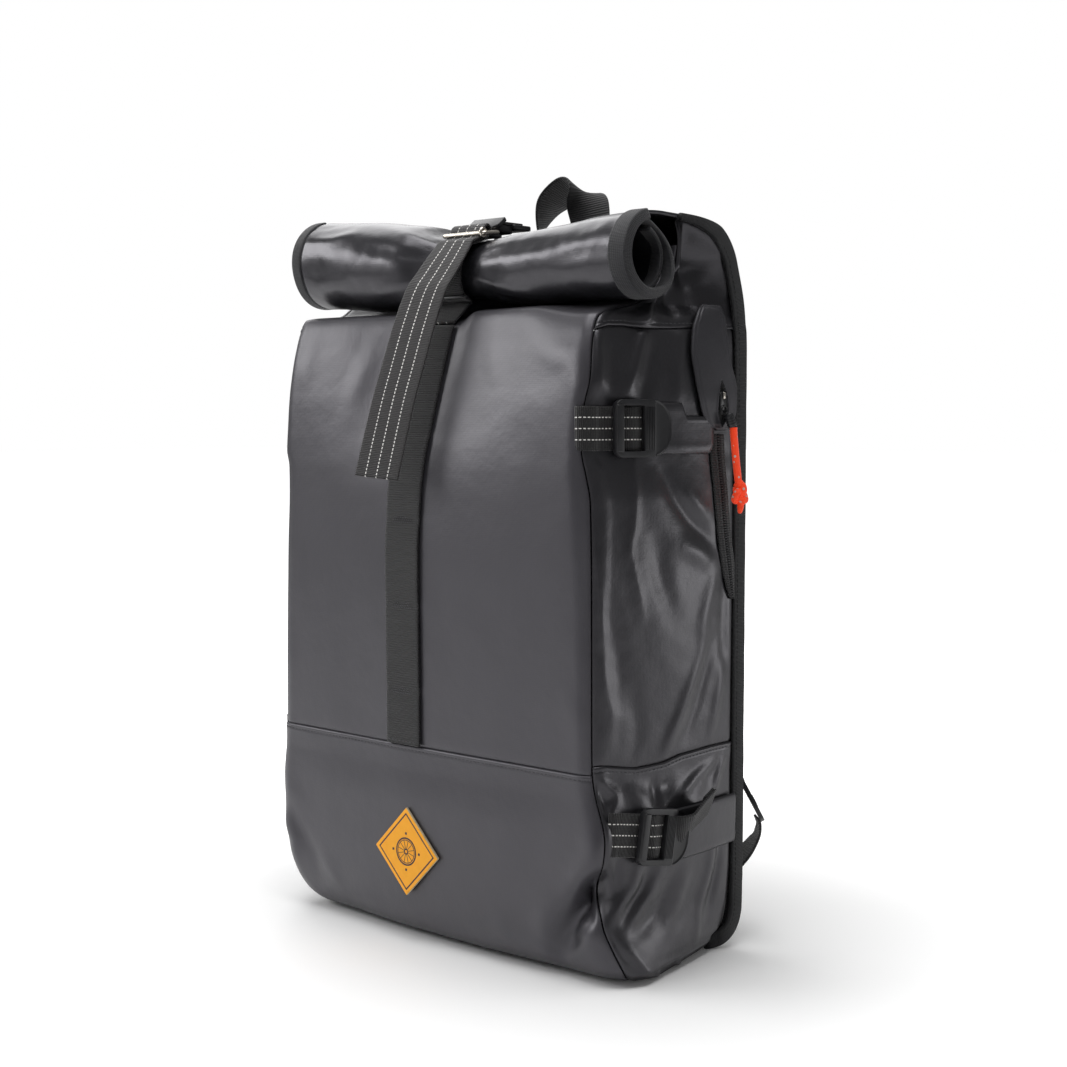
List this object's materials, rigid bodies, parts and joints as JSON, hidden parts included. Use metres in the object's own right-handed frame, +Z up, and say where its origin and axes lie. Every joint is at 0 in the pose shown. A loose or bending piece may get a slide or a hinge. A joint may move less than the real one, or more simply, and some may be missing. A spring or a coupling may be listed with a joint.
{
  "type": "messenger backpack",
  "caption": "Roll-top cyclist's backpack of coated tarpaulin, with a closing strap and hook, side compression straps, a side zip and padded shoulder straps.",
  "frame": {"origin": "on the ground, in the middle of the base", "axes": "+X to the right as one faces the front, +Y from the front to the wearer's back, +Z up"},
  "size_m": [0.3266, 0.2045, 0.4947],
  "materials": {
    "tarpaulin": "satin coated tarpaulin",
    "side_tarpaulin": "satin coated tarpaulin, darker",
    "webbing": "ribbed webbing",
    "binding": "matte binding tape",
    "mesh_pad": "matte mesh over foam",
    "plastic": "satin moulded plastic",
    "steel": "bright wire",
    "leather": "smooth dyed leather",
    "cord": "braided cord"
  },
  "bodies": {
    "root": {"back_anchor": "webbing", "back_panel": "mesh_pad", "base_front": "tarpaulin", "base_plate": "tarpaulin", "base_side_left": "side_tarpaulin", "base_side_right": "side_tarpaulin", "carrying_loop": "webbing", "closing_strap": "webbing", "collar_gusset_left": "side_tarpaulin", "collar_gusset_right": "side_tarpaulin", "daisy_chain": "webbing", "diamond_patch": "leather", "edge_binding_left": "binding", "edge_binding_right": "binding", "front_panel": "tarpaulin", "lock_lower_left": "plastic", "lock_lower_right": "plastic", "lock_upper_left": "plastic", "lock_upper_right": "plastic", "plastic_hook": "plastic", "pull_cord": "cord", "pull_knot": "cord", "pull_sleeve": "plastic", "roll_binding_left": "binding", "roll_binding_right": "binding", "roll_top": "tarpaulin", "shoulder_lock_left": "plastic", "shoulder_lock_right": "plastic", "shoulder_pad_left": "mesh_pad", "shoulder_pad_right": "mesh_pad", "shoulder_tab_left": "webbing", "shoulder_tab_right": "webbing", "shoulder_web_left": "webbing", "shoulder_web_right": "webbing", "side_panel_left": "side_tarpaulin", "side_panel_right": "side_tarpaulin", "steel_ring": "steel", "strap_keeper": "plastic", "strap_lower_left": "webbing", "strap_lower_right": "webbing", "strap_upper_left": "webbing", "strap_upper_right": "webbing", "wing_lower_left": "side_tarpaulin", "wing_lower_right": "side_tarpaulin", "wing_upper_left": "side_tarpaulin", "wing_upper_right": "side_tarpaulin", "zip_cover": "side_tarpaulin", "zip_slider": "steel", "zip_tape": "webbing"}
  },
  "joints": []
}
